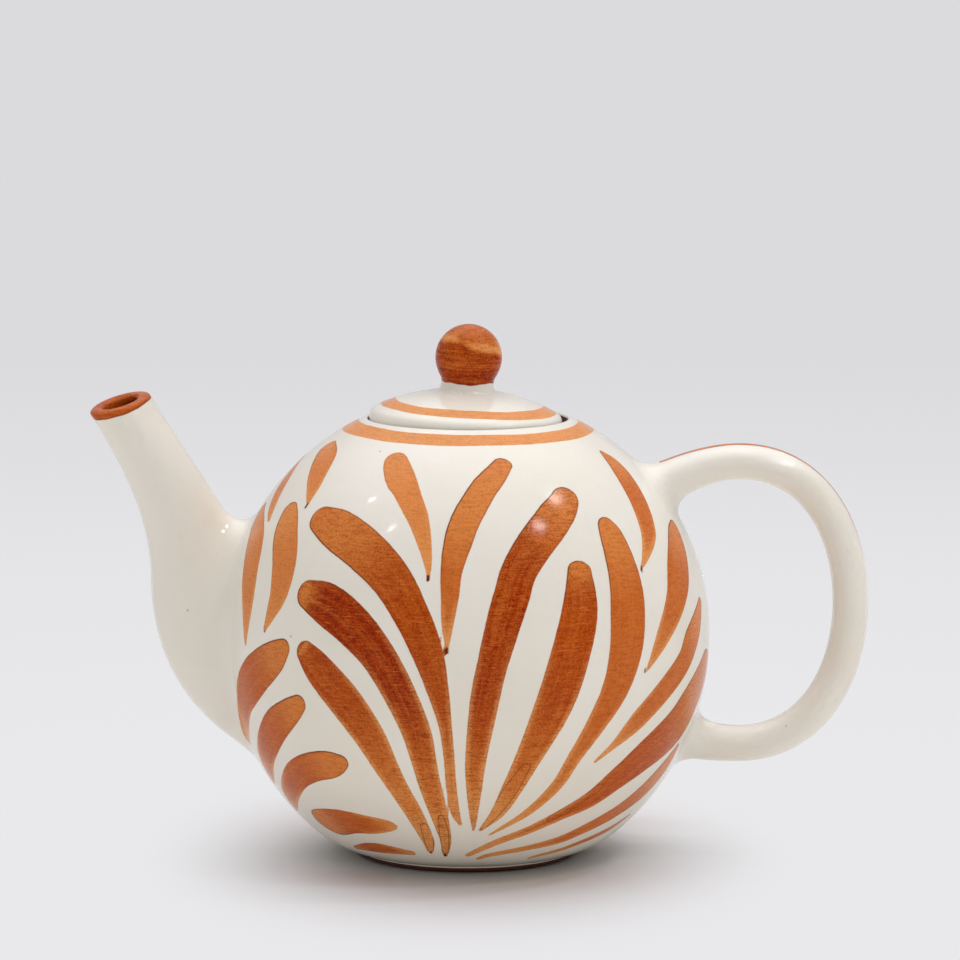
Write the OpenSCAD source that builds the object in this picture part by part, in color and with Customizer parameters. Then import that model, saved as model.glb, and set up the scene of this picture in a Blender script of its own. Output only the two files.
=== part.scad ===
// Hand-painted terracotta teapot: thrown body, pulled handle, thrown spout and a loose lid with a knob.
// Origin on the body's axis at the foot plane. +Z up, spout towards -X, handle towards +X.

/* [Body] */
// Widest diameter of the body
body_d = 152; // [130:1:180]
// Height of the widest part above the table
belly_h = 69; // [60:1:80]
// Radius of the shoulder curve, from the widest part up to the mouth
shoulder_r = 74.5; // [72:0.5:76]
// Radius of the lower belly curve, from the widest part down
belly_r = 81; // [77:0.5:86]
// Radius of the curve that turns the belly under to the foot
heel_r = 32; // [26:1:36]
// How far the belly curve turns down before the heel begins
heel_angle = 48; // [42:1:54]
// Thickness of the body's wall
wall = 5; // [3.5:0.5:6]

/* [Foot] */
// Outer diameter of the foot ring
foot_d = 70; // [60:1:78]
// Width of the foot ring that stands on the table
foot_w = 6; // [4:0.5:9]
// Depth of the turned recess under the foot
foot_recess = 1.5; // [1:0.25:2.5]

/* [Mouth and lid] */
// Diameter of the throat that the lid's flange drops into
throat_d = 50; // [42:1:54]
// Height of the ledge that the lid rests on
seat_h = 134.2; // [133:0.2:135]
// Width of the ledge between the throat and the rim
seat_w = 6.2; // [5:0.2:7]
// Thickness of the collar under the ledge
seat_t = 4.5; // [3:0.5:6]
// Lean of the mouth towards the handle, in degrees
mouth_lean = 2.5; // [0:0.25:3]
// Gap between the lid and the mouth, all round
lid_clearance = 1.1; // [0.8:0.1:2]
// How far the loose lid has slid towards the spout
lid_shift = 0.6; // [0:0.1:0.8]
// Height of the lid's upright edge
lid_edge_h = 4.2; // [3:0.2:5]
// Rise of the lid's dome above its edge
lid_rise = 7.6; // [6:0.2:10]
// Thickness of the lid's wall
lid_wall = 4; // [3:0.5:5]
// Depth of the locating flange below the ledge
flange_depth = 9; // [6:0.5:12]
// Thickness of the flange
flange_t = 3; // [2:0.5:4]
// Diameter of the steam hole in the lid
vent_d = 3; // [2:0.5:4]
// Distance of the steam hole from the middle of the lid
vent_offset = 15; // [13:0.5:18]

/* [Knob] */
// Widest diameter of the knob
knob_d = 20.8; // [16:0.2:26]
// Height of the knob's widest part above the lid's edge
knob_mid_h = 17.4; // [16:0.2:20]
// Diameter of the knob's waist
knob_waist_d = 16.4; // [13:0.2:18]
// Height of the waist above the lid's edge
knob_waist_h = 9.8; // [9:0.2:11]
// Diameter of the knob where it is joined to the lid
knob_base_d = 17.6; // [14:0.2:22]

/* [Spout] */
// Distance from the body's axis to the outermost point of the lip
spout_reach = 117.5; // [110:0.5:130]
// Height of the outer side of the lip
spout_lip_h = 138; // [130:0.5:150]
// Diameter of the lip
spout_lip_d = 19.6; // [16:0.2:24]
// Backward tilt of the lip, in degrees
spout_lip_tilt = 16; // [8:1:24]
// Distance from the axis to the outer side of the spout's neck
spout_neck_x = 99; // [94:0.5:104]
// Height of the neck, where the outer side stands upright
spout_neck_h = 89; // [84:1:96]
// Height at which the underside leaves the body
spout_root_low = 28; // [22:1:34]
// Height at which the upper side leaves the body
spout_root_high = 102; // [98:0.5:106]
// Width of the spout where it joins the body
spout_root_w = 46; // [38:1:56]
// Thickness of the spout's wall
spout_wall = 3; // [2:0.25:3.5]

/* [Strainer] */
// Diameter of one strainer hole
strain_d = 3.6; // [2.5:0.1:3.9]
// Distance between strainer holes
strain_pitch = 7.5; // [6:0.25:9]
// Rings of holes around the middle one
strain_rings = 2; // [1:1:2]

/* [Handle] */
// Distance from the body's axis to the middle of the grip
handle_reach = 120; // [112:0.5:132]
// Height of the middle of the handle's upper arm
handle_top_h = 123.3; // [116:0.1:128]
// Height of the middle of the handle's lower arm
handle_low_h = 34; // [30:0.5:44]
// Distance from the axis at which the arms run level
handle_arm_x = 85; // [80:0.5:90]
// Thickness of the handle, seen from the side
handle_t = 11.2; // [9:0.2:14]
// Width of the handle, seen from behind
handle_w = 16; // [12:0.5:20]
// How much wider and thicker the handle grows where it joins the body
handle_flare_ratio = 1.4; // [1.1:0.05:1.6]

/* [Hidden] */
$fn = 96;

glaze = [0.88, 0.85, 0.80];
brick = [0.66, 0.34, 0.18];
over = 1;

// Body curves: three arcs, each tangent to the next
body_rad = body_d / 2;
shoulder_x = body_rad - shoulder_r;
belly_x = body_rad - belly_r;
heel_x = belly_x + (belly_r - heel_r) * cos(heel_angle);
heel_z = belly_h - (belly_r - heel_r) * sin(heel_angle);
heel_top = belly_h - belly_r * sin(heel_angle);
crown_h = belly_h + shoulder_r;
foot_rad = foot_d / 2;

// Mouth and lid, measured from the leaning axis of the mouth
throat_r = throat_d / 2;
rim_r = throat_r + seat_w;
lid_r = rim_r - lid_clearance;
flange_r = throat_r - lid_clearance;
dome_r = (lid_r * lid_r + lid_rise * lid_rise) / (2 * lid_rise);
dome_z = seat_h + lid_edge_h + lid_rise - dome_r;
lid_top = seat_h + lid_edge_h;

// Knob: the collar's fall to the waist, and where the neck runs into the round of the knob
knob_step = 1.2;
knob_taper = 12;

// Spout: the lip's two ends, then the control points of its outer and inner sides, with the pulls
// given as shares of the lip's diameter or of the root's width
lip_lean = 15;
lip_run = [cos(spout_lip_tilt), sin(spout_lip_tilt)] * spout_lip_d;
lip_out = [-spout_reach, spout_lip_h];
lip_in = lip_out + lip_run;
lip_way = [-sin(spout_lip_tilt + lip_lean), cos(spout_lip_tilt + lip_lean)] * spout_lip_d;
neck_out = [-spout_neck_x, spout_neck_h];
neck_in = neck_out + [1.12, 1.05] * spout_lip_d;
root_low = [0.72 * spout_lip_d - body_rad, spout_root_low];
root_high = [0.92 * spout_lip_d - body_rad, spout_root_high];
belly_side = [root_low, root_low + [-0.575, 0.315] * spout_root_w,
              neck_out - [0.004, 0.61] * spout_root_w, neck_out];
front_side = [neck_out, neck_out + [-0.046, 0.92] * spout_lip_d, lip_out - 0.92 * lip_way, lip_out];
root_side = [root_high, root_high - [0.61, 0] * spout_lip_d,
             neck_in + [0.153, -0.24] * spout_lip_d, neck_in];
back_side = [neck_in, neck_in + [-0.33, 0.55] * spout_lip_d, lip_in - 0.61 * lip_way, lip_in];
spout_mid_w = spout_lip_d * 1.2;
lip_curl = spout_wall / 2;
spout_steps = 24;
spout_sides = 32;

// Handle: four curves from the upper root, round the grip, to the lower root, with the pulls given
// as shares of the handle's thickness or of its own reach and height
grip_h = (handle_top_h + handle_low_h) / 2;
arm_top = [handle_arm_x, handle_top_h];
arm_low = [handle_arm_x, handle_low_h];
grip = [handle_reach, grip_h];
bow = [handle_reach - handle_arm_x, 0];
rise = [0, handle_top_h - grip_h];
top_root = [body_rad - 2 * handle_t, handle_top_h - handle_t];
low_root = [body_rad - 1.6 * handle_t, handle_low_h + 0.45 * handle_t];
upper_arm = [top_root, top_root + [0.9, 0.5] * handle_t, arm_top - [handle_t, 0], arm_top];
upper_bend = [arm_top, arm_top + 0.68 * bow, grip + 0.5 * rise, grip];
lower_bend = [grip, grip - 0.5 * rise, arm_low + 0.68 * bow, arm_low];
lower_arm = [arm_low, arm_low - [0.63 * handle_t, 0], low_root + [1.25, -0.36] * handle_t, low_root];
path = [upper_arm, upper_bend, lower_bend, lower_arm];
last_t = len(path);
handle_steps = 12;
handle_sides = 24;

// A point on a cubic curve with four control points
function curve(p, t) =
    p[0] * pow(1 - t, 3) + p[1] * 3 * t * pow(1 - t, 2) + p[2] * 3 * t * t * (1 - t) + p[3] * pow(t, 3);

// A point on a chain of cubic curves, t from 0 to the number of curves
function chain(curves, t) =
    let (i = min(floor(t), len(curves) - 1)) curve(curves[i], t - i);

// Smooth step from 0 to 1
function ease(t) = t * t * (3 - 2 * t);

// Half width of the spout, front to back, t from 0 at the root to 2 at the lip
function spout_half(t) =
    t < 1
        ? spout_mid_w / 2 + (spout_root_w - spout_mid_w) / 2 * pow(1 - t, 1.6)
        : spout_lip_d / 2 + (spout_mid_w - spout_lip_d) / 2 * (1 - ease(t - 1));

// One ring of the spout at t, drawn in by inset along its own plane
function spout_ring(t, inset) =
    let (a = chain([belly_side, front_side], t),
         b = chain([root_side, back_side], t),
         mid = (a + b) / 2,
         way = (b - a) / norm(b - a),
         long = norm(b - a) / 2 - inset * (1 + 0.5 * max(0, 1 - t)),
         wide = spout_half(t) - inset)
    [for (i = [0:spout_sides - 1])
        let (q = 360 * i / spout_sides, x = long * cos(q))
        [mid[0] + way[0] * x, wide * sin(q), mid[1] + way[1] * x]];

// The same ring pushed past the lip's plane, for the rounded lip
function lift(ring, d) = [for (p = ring) p + [-sin(spout_lip_tilt), 0, cos(spout_lip_tilt)] * d];

// One ring of the handle at t, square to its path and flared at both roots
function handle_ring(t) =
    let (p = chain(path, t),
         d = chain(path, min(t + 0.01, last_t)) - chain(path, max(t - 0.01, 0)),
         out = [d[1], -d[0]] / norm(d),
         flare = 1 + (handle_flare_ratio - 1) * pow(max(0, abs(t - last_t / 2) - 1), 2),
         half = [handle_t, handle_w] / 2 * flare)
    [for (i = [0:handle_sides - 1])
        let (q = 360 * i / handle_sides, x = half[0] * cos(q))
        [p[0] + out[0] * x, half[1] * sin(q), p[1] + out[1] * x]];

// Joins rings of equal length into a skin of triangles
function skin(rings, n) = [
    for (r = [0:len(rings) - 2], i = [0:n - 1])
        let (j = (i + 1) % n, a = r * n + i, b = r * n + j)
        each [[a, a + n, b], [b, a + n, b + n]]];

// Closes one end of a skin with a fan of triangles
function cap(first, n, turn) = [
    for (i = [1:n - 2])
        turn ? [first, first + i + 1, first + i] : [first, first + i, first + i + 1]];

// A solid loft through rings
module loft(rings, n) {
    last = (len(rings) - 1) * n;
    polyhedron(
        points = [for (r = rings) each r],
        faces = concat(skin(rings, n), cap(0, n, false), cap(last, n, true)));
}

// Half outline of the body, each curve moved inwards by inset. Each smaller circle touches the next
// larger one from inside, so the three overlap without a step.
module body_outline(inset, base) {
    intersection() {
        translate([shoulder_x, belly_h]) circle(r = shoulder_r - inset);
        translate([0, heel_z]) square([body_d, crown_h]);
    }
    intersection() {
        translate([belly_x, belly_h]) circle(r = belly_r - inset);
        translate([0, heel_top]) square([body_d, belly_h - heel_top]);
    }
    intersection() {
        translate([heel_x, heel_z]) circle(r = heel_r - inset);
        translate([0, base]) square([body_d, heel_z - base]);
    }
    translate([0, base]) square([heel_x, heel_z - base]);
}

// The body as if it were solid, used to trim what is joined to it
module body_solid() {
    rotate_extrude() {
        body_outline(0, heel_z - heel_r);
        square([foot_rad, heel_z - heel_r + over]);
    }
}

// Places a piece on the leaning axis of the mouth
module on_mouth() {
    translate([0, 0, seat_h]) rotate([0, mouth_lean, 0]) translate([0, 0, -seat_h]) children();
}

// Places a piece on the lid's own axis, off the middle of the mouth by its slack
module on_lid() {
    on_mouth() translate([-lid_shift, 0, 0]) children();
}

// Centres of the strainer holes: a middle hole and rings around it
function strainer_holes() = [
    [0, 0],
    for (k = [1:strain_rings], i = [0:6 * k - 1])
        k * strain_pitch * [cos(60 * i / k), sin(60 * i / k)]];

module pot_body() {
    color(glaze) difference() {
        union() {
            difference() {
                body_solid();
                rotate_extrude() body_outline(wall, heel_z - heel_r + wall);
            }
            on_mouth() translate([0, 0, seat_h - seat_t]) cylinder(r = rim_r + over, h = seat_t);
        }
        on_mouth() translate([0, 0, seat_h]) cylinder(r = rim_r, h = crown_h);
        on_mouth() translate([0, 0, seat_h - seat_t - wall]) cylinder(r = throat_r, h = crown_h);
        translate([0, 0, -over]) cylinder(r = foot_rad - foot_w, h = foot_recess + over);
        for (p = strainer_holes())
            translate([-body_rad - over, p[0], belly_h + p[1]])
                rotate([0, 90, 0]) cylinder(d = strain_d, h = body_rad / 2, $fn = 24);
    }
}

module spout() {
    outer = concat(
        [for (k = [0:spout_steps]) spout_ring(2 * k / spout_steps, 0)],
        [lift(spout_ring(2, lip_curl * 0.3), lip_curl * 0.7), lift(spout_ring(2, lip_curl), lip_curl)]);
    inner = concat(
        [for (k = [0:spout_steps]) spout_ring(2 * k / spout_steps, spout_wall)],
        [lift(spout_ring(2, lip_curl * 1.7), lip_curl * 0.7), lift(spout_ring(2, lip_curl), lip_curl + over)]);
    color(glaze) difference() {
        loft(outer, spout_sides);
        loft(inner, spout_sides);
        body_solid();
    }
}

module handle() {
    color(glaze) difference() {
        loft([for (k = [0:last_t * handle_steps]) handle_ring(k / handle_steps)], handle_sides);
        body_solid();
    }
}

// The lid's outer form: an upright edge under a shallow dome
module lid_form() {
    rotate_extrude() intersection() {
        translate([0, dome_z]) circle(r = dome_r);
        translate([0, seat_h]) square([lid_r, lid_edge_h + lid_rise + over]);
    }
}

module lid() {
    color(glaze) on_lid() difference() {
        union() {
            lid_form();
            translate([0, 0, seat_h - flange_depth]) cylinder(r = flange_r, h = flange_depth + over);
        }
        translate([0, 0, seat_h - flange_depth - over])
            cylinder(r = flange_r - flange_t, h = flange_depth + over);
        rotate_extrude() intersection() {
            translate([0, dome_z]) circle(r = dome_r - lid_wall);
            translate([0, seat_h - over]) square([flange_r - flange_t, lid_rise + lid_edge_h]);
        }
        translate([0, vent_offset, seat_h]) cylinder(d = vent_d, h = lid_rise + lid_edge_h + over);
    }
}

module knob() {
    mid = lid_top + knob_mid_h;
    waist = lid_top + knob_waist_h;
    rad = knob_d / 2;
    color(brick) on_lid() rotate_extrude() difference() {
        union() {
            intersection() {
                translate([0, mid]) circle(r = rad);
                translate([0, waist]) square([rad, knob_d]);
            }
            polygon([[0, lid_top], [knob_base_d / 2, lid_top], [knob_base_d / 2, waist - knob_step],
                     [knob_waist_d / 2, waist], [rad * cos(knob_taper), mid - rad * sin(knob_taper)],
                     [0, mid]]);
        }
        translate([0, dome_z]) circle(r = dome_r);
    }
}

pot_body();
spout();
handle();
lid();
knob();
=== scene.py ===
import math
import bpy
import numpy as np
from mathutils import Matrix, Vector


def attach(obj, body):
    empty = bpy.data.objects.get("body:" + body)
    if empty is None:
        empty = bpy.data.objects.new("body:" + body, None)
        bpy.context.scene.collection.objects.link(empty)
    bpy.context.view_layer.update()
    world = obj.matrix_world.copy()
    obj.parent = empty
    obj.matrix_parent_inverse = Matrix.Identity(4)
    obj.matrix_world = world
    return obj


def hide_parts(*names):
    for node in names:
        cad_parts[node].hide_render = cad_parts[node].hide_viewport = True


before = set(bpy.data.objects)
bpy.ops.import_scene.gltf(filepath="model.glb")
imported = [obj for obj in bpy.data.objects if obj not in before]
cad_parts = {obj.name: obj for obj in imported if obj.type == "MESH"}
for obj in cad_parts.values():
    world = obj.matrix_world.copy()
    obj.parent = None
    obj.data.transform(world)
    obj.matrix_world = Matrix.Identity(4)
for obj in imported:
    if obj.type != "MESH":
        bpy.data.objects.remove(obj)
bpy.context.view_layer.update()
print("frame loaded:", ", ".join(sorted(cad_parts)))

# all shapes are worked out in millimetres, in the frame of the solids, and become metres in the mesh
mm = 0.001

camera = {
    "place": (0, -1.67785, 0.34746), "down": 7.8128, "aside": -0.1347, "roll": 0.12,
    "lens": 203.5, "sensor": 36, "nearest": 0.05, "furthest": 60,
}


def makeCamera(c):
    # a camera that looks level along Y, rolled, tipped down and turned aside by the given degrees
    roll = Matrix.Rotation(math.radians(c["roll"]), 4, "Z")
    tip = Matrix.Rotation(math.radians(90 - c["down"]), 4, "X")
    turn = Matrix.Rotation(math.radians(c["aside"]), 4, "Z")
    data = bpy.data.cameras.new("camera")
    data.lens = c["lens"]
    data.sensor_width = c["sensor"]
    data.clip_start = c["nearest"]
    data.clip_end = c["furthest"]
    ob = bpy.data.objects.new("camera", data)
    bpy.context.collection.objects.link(ob)
    ob.matrix_world = Matrix.Translation(c["place"]) @ turn @ tip @ roll
    bpy.context.scene.camera = ob


makeCamera(camera)

# thrown body: three arcs, each tangent to the next, and the turned foot
bodyForm = {
    "radius": 76, "bellyHeight": 69, "shoulderArc": 74.5, "bellyArc": 81, "heelArc": 32,
    "heelTurn": 48, "wall": 5, "footRadius": 35, "footWidth": 6, "footRecess": 1.5, "footRound": 0.6,
    "columns": 440, "heelRows": 15, "bellyRows": 62, "shoulderRows": 82, "insideRows": 34,
}
mouthForm = {
    "throat": 25, "seatHeight": 134.2, "seatWidth": 6.2, "seatThickness": 4.5, "lean": 2.5,
    "rimRound": 1.1, "seatRound": 0.7, "seatCorner": 0.4,
}

shoulderX = bodyForm["radius"] - bodyForm["shoulderArc"]
bellyX = bodyForm["radius"] - bodyForm["bellyArc"]
heelTurn = math.radians(bodyForm["heelTurn"])
heelX = bellyX + (bodyForm["bellyArc"] - bodyForm["heelArc"]) * math.cos(heelTurn)
heelZ = bodyForm["bellyHeight"] - (bodyForm["bellyArc"] - bodyForm["heelArc"]) * math.sin(heelTurn)
heelTop = bodyForm["bellyHeight"] - bodyForm["bellyArc"] * math.sin(heelTurn)
rimRadius = mouthForm["throat"] + mouthForm["seatWidth"]


def arcAt(z):
    # centre radius, centre height and radius of the arc that holds height z
    f = bodyForm
    cx = np.where(z >= f["bellyHeight"], shoulderX, np.where(z >= heelTop, bellyX, heelX))
    cz = np.where(z >= heelTop, f["bellyHeight"], heelZ)
    lower = np.where(z >= heelTop, f["bellyArc"], f["heelArc"])
    return cx, cz, np.where(z >= f["bellyHeight"], f["shoulderArc"], lower)


def bodyRadius(z):
    # outer radius at height z: the arc's centre radius plus the half chord at that height
    cx, cz, ar = arcAt(z)
    return cx + np.sqrt(np.maximum(ar ** 2 - (z - cz) ** 2, 0))


def bodyDepth(p):
    # distance outside the body's surface, measured from the arc's centre, negative inside
    cx, cz, ar = arcAt(p[..., 2])
    return np.hypot(np.hypot(p[..., 0], p[..., 1]) - cx, p[..., 2] - cz) - ar


def bodyNormal(p):
    # unit vector from the arc's centre to the point
    cx, cz, ar = arcAt(p[..., 2])
    r = np.hypot(p[..., 0], p[..., 1])
    out = np.stack([p[..., 0] / r * (r - cx), p[..., 1] / r * (r - cx), p[..., 2] - cz], -1)
    return out / np.linalg.norm(out, axis=-1, keepdims=True)


def ontoBody(p, sink):
    # the point moved along the surface's normal until it lies sink below the surface
    return p - bodyNormal(p) * (bodyDepth(p) + sink)[..., None]


def fromMouth(p, shift=0):
    # the leaning axis: a turn about Y through the middle of the seat, after a slide along X
    lean = math.radians(mouthForm["lean"])
    x = p[..., 0] - shift
    z = p[..., 2] - mouthForm["seatHeight"]
    return np.stack([x * math.cos(lean) + z * math.sin(lean), p[..., 1],
                     mouthForm["seatHeight"] - x * math.sin(lean) + z * math.cos(lean)], -1)


def toMouth(p, shift=0):
    # the turn of fromMouth undone
    lean = math.radians(mouthForm["lean"])
    z = p[..., 2] - mouthForm["seatHeight"]
    return np.stack([p[..., 0] * math.cos(lean) - z * math.sin(lean) + shift, p[..., 1],
                     mouthForm["seatHeight"] + p[..., 0] * math.sin(lean) + z * math.cos(lean)], -1)


def turned(r, z, angle):
    # a ring: radius r and height z carried round by the angles
    r = np.broadcast_to(r, angle.shape)
    z = np.broadcast_to(z, angle.shape)
    return np.stack([r * np.cos(angle), r * np.sin(angle), z], -1)


def corner(a, b, c, steps):
    # points on the curve from a to c that is drawn towards the corner b, ends left out
    t = np.linspace(0, 1, steps + 2)[1:-1].reshape(-1, *([1] * np.ndim(a)))
    return list(a * (1 - t) ** 2 + b * 2 * t * (1 - t) + c * t ** 2)


def closedSkin(name, rings, loop=False):
    # rings joined by quads; the ends meet in a point, or in each other where loop is set
    rings = np.asarray(rings)
    n, m = rings.shape[:2]
    verts = rings.reshape(-1, 3)
    row = np.arange(n if loop else n - 1)[:, None] * m
    col = np.arange(m)[None, :]
    nxt = (col + 1) % m
    up = (row + m) % (n * m)
    quads = np.stack([row + col, row + nxt, up + nxt, up + col], -1).reshape(-1, 4)
    caps = np.zeros((0, 3), int)
    if not loop:
        verts = np.vstack([verts, rings[0].mean(0), rings[-1].mean(0)])
        around = np.arange(m)
        after = (around + 1) % m
        first = np.full(m, n * m)
        caps = np.vstack([np.stack([after, around, first], -1),
                          np.stack([around + (n - 1) * m, after + (n - 1) * m, first + 1], -1)])
    # signed volume from the quads' diagonals tells whether the skin faces outwards
    a, b, c, d = (verts[quads[:, k]] for k in range(4))
    volume = np.einsum("ij,ij->i", a, np.cross(b, c)).sum() + np.einsum("ij,ij->i", a, np.cross(c, d)).sum()
    way = 1 if volume > 0 else -1
    faces = quads[:, ::way].tolist() + caps[:, ::way].tolist()
    me = bpy.data.meshes.new(name)
    me.from_pydata((verts * mm).tolist(), [], faces)
    me.validate()
    ob = bpy.data.objects.new(name, me)
    bpy.context.collection.objects.link(ob)
    return ob


def drill(ob, holes, length):
    # round holes, each a centre, a direction and a diameter, cut from the piece
    sides = 24
    angle = np.linspace(0, 2 * math.pi, sides, endpoint=False)
    verts = []
    faces = []
    for centre, way, across in holes:
        way = Vector(way).normalized()
        side = way.orthogonal().normalized()
        other = way.cross(side)
        start = len(verts)
        for end in (-length / 2, length / 2):
            ring = np.outer(np.cos(angle), side) + np.outer(np.sin(angle), other)
            verts += ((np.array(centre) + ring * across / 2 + np.array(way) * end) * mm).tolist()
        k = np.arange(sides) + start
        after = np.roll(k, -1)
        faces += np.stack([k, after, after + sides, k + sides], -1).tolist()
        faces += [k[::-1].tolist(), (k + sides).tolist()]
    me = bpy.data.meshes.new("drill")
    me.from_pydata(verts, [], faces)
    tool = bpy.data.objects.new("drill", me)
    bpy.context.collection.objects.link(tool)
    cut = ob.modifiers.new("holes", "BOOLEAN")
    cut.operation = "DIFFERENCE"
    cut.solver = "MANIFOLD"
    cut.object = tool
    bpy.context.view_layer.update()
    done = bpy.data.meshes.new_from_object(ob.evaluated_get(bpy.context.evaluated_depsgraph_get()))
    ob.modifiers.clear()
    ob.data = done
    bpy.data.objects.remove(tool)


def points(ob):
    # the piece's vertices in millimetres
    co = np.zeros(len(ob.data.vertices) * 3, np.float32)
    ob.data.vertices.foreach_get("co", co)
    return co.reshape(-1, 3).astype(float) / mm


def smooth(ob, angle=38):
    # shade smooth, with an edge kept where faces meet at more than the angle
    ob.data.polygons.foreach_set("use_smooth", np.ones(len(ob.data.polygons), bool))
    ob.data.set_sharp_from_angle(angle=math.radians(angle))


def makeBody():
    # rings from the foot's recess up the outside, over the rim and the ledge, and down the inside
    f = bodyForm
    q = mouthForm
    angle = np.linspace(0, 2 * math.pi, f["columns"], endpoint=False)

    def domeHeight(r):
        # height in the mouth's frame where the dome crosses radius r, by halving
        halvings = 40
        low = np.full(angle.shape, q["seatHeight"] - 8.0)
        high = np.full(angle.shape, q["seatHeight"] + 12.0)
        for k in range(halvings):
            mid = (low + high) / 2
            inside = bodyDepth(fromMouth(turned(r, mid, angle))) < 0
            low = np.where(inside, mid, low)
            high = np.where(inside, high, mid)
        return fromMouth(turned(r, low, angle))

    brow = domeHeight(rimRadius + q["rimRound"])
    edge = domeHeight(rimRadius)
    topAngle = np.arctan2(brow[:, 2] - f["bellyHeight"], np.hypot(brow[:, 0], brow[:, 1]) - shoulderX)
    around = np.arctan2(brow[:, 1], brow[:, 0])
    footAngle = -math.acos((f["footRadius"] - heelX) / f["heelArc"])
    footTop = heelZ + f["heelArc"] * math.sin(footAngle)
    hollow = f["footRadius"] - f["footWidth"]

    def arcRing(cx, cz, radius, a):
        # the ring on an arc, its centre and radius given, at angle a above the centre
        return turned(cx + radius * np.cos(a), cz + radius * np.sin(a), around)

    e = f["footRound"]
    rings = [turned(r, f["footRecess"], around) for r in (0.5, hollow - 2)]
    rings += [turned(hollow, f["footRecess"] - e / 3, around), turned(hollow + e / 6, e / 2, around)]
    rings += [turned(hollow + e, 0, around), turned(f["footRadius"] - e, 0, around)]
    rings += [turned(f["footRadius"] - e / 6, e / 2, around)]
    rings += [turned(f["footRadius"], footTop - e / 2, around)]
    for a in np.linspace(footAngle, -heelTurn, f["heelRows"] + 1)[:-1]:
        rings.append(arcRing(heelX, heelZ, f["heelArc"], a))
    for a in np.linspace(-heelTurn, 0, f["bellyRows"] + 1)[:-1]:
        rings.append(arcRing(bellyX, f["bellyHeight"], f["bellyArc"], a))
    for k in np.linspace(0, 1, f["shoulderRows"] + 1):
        rings.append(arcRing(shoulderX, f["bellyHeight"], f["shoulderArc"], k * topAngle))

    # rim, ledge and throat, in the leaning frame of the mouth
    def mouthRing(r, z):
        return fromMouth(turned(r, z, angle))

    wallTop = toMouth(edge)
    wallTop[:, 2] -= q["rimRound"]
    rings += corner(brow, edge, fromMouth(wallTop), 4)
    rings.append(fromMouth(wallTop))
    seat = q["seatHeight"]
    e = q["seatRound"]
    under = rimRadius + 1  # where the ledge's underside meets the inner wall
    rings += [mouthRing(rimRadius, seat + q["seatCorner"]), mouthRing(rimRadius - q["seatCorner"], seat)]
    rings += [mouthRing(q["throat"] + 2, seat)]
    rings += [mouthRing(q["throat"] + e, seat), mouthRing(q["throat"] + 0.3 * e, seat - 0.3 * e)]
    rings += [mouthRing(q["throat"], seat - e), mouthRing(q["throat"], seat - q["seatThickness"] + e)]
    rings += [mouthRing(q["throat"] + e, seat - q["seatThickness"])]
    rings += [mouthRing(under, seat - q["seatThickness"])]

    # inner wall: the same arcs drawn in by the wall's thickness, down to the flat floor
    wall = f["wall"]
    rows = f["insideRows"]
    top = math.acos((under - shoulderX) / (f["shoulderArc"] - wall))
    for a in np.linspace(top, 0, rows // 2)[:-1]:
        rings.append(arcRing(shoulderX, f["bellyHeight"], f["shoulderArc"] - wall, a))
    for a in np.linspace(0, -heelTurn, rows // 3)[:-1]:
        rings.append(arcRing(bellyX, f["bellyHeight"], f["bellyArc"] - wall, a))
    for a in np.linspace(-heelTurn, -math.pi / 2, rows // 4):
        rings.append(arcRing(heelX, heelZ, f["heelArc"] - wall, a))
    rings.append(turned(1, heelZ - f["heelArc"] + wall, around))
    return closedSkin("potBody", rings)


strainer = {"across": 3.6, "pitch": 7.5, "rings": 2, "inset": 6, "drillLength": 26}


def strainerHoles():
    # a middle hole and rings of six and twelve around it, through the wall behind the spout
    spots = [(0, 0)]
    for k in range(1, strainer["rings"] + 1):
        a = np.radians(60 * np.arange(6 * k) / k)
        spots += zip(k * strainer["pitch"] * np.cos(a), k * strainer["pitch"] * np.sin(a))
    x = strainer["inset"] - bodyForm["radius"]
    return [((x, y, bodyForm["bellyHeight"] + z), (1, 0, 0), strainer["across"]) for y, z in spots]


potBody = makeBody()
drill(potBody, strainerHoles(), strainer["drillLength"])
print("body thrown:", len(potBody.data.vertices), "points")


def bezier(p, t):
    # point on the cubic curve with four control points, for many t
    t = np.asarray(t)[..., None]
    return p[0] * (1 - t) ** 3 + p[1] * 3 * t * (1 - t) ** 2 + p[2] * 3 * t ** 2 * (1 - t) + p[3] * t ** 3


def chain(curves, t):
    # point on a chain of cubic curves, t from 0 to their number
    t = np.asarray(t, float)
    out = np.zeros(t.shape + (2,))
    for k, c in enumerate(curves):
        here = (t >= k) if k == len(curves) - 1 else (t >= k) & (t < k + 1)
        out = np.where(here[..., None], bezier(np.array(c), np.clip(t - k, 0, 1)), out)
    return out


spoutForm = {
    "reach": 117.5, "lipHeight": 138, "lipAcross": 19.6, "lipTilt": 16, "lipLean": 15, "lipFacing": 8,
    "neckX": 99, "neckHeight": 89, "rootLow": 28, "rootHigh": 102, "rootWidth": 46, "wall": 3,
    "fillet": 5.8, "lipThicker": 1.3, "lipCrest": 0.75, "columns": 128, "rows": 150, "filletRows": 9,
    "lipRows": 13, "boreRows": 60,
}


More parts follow.
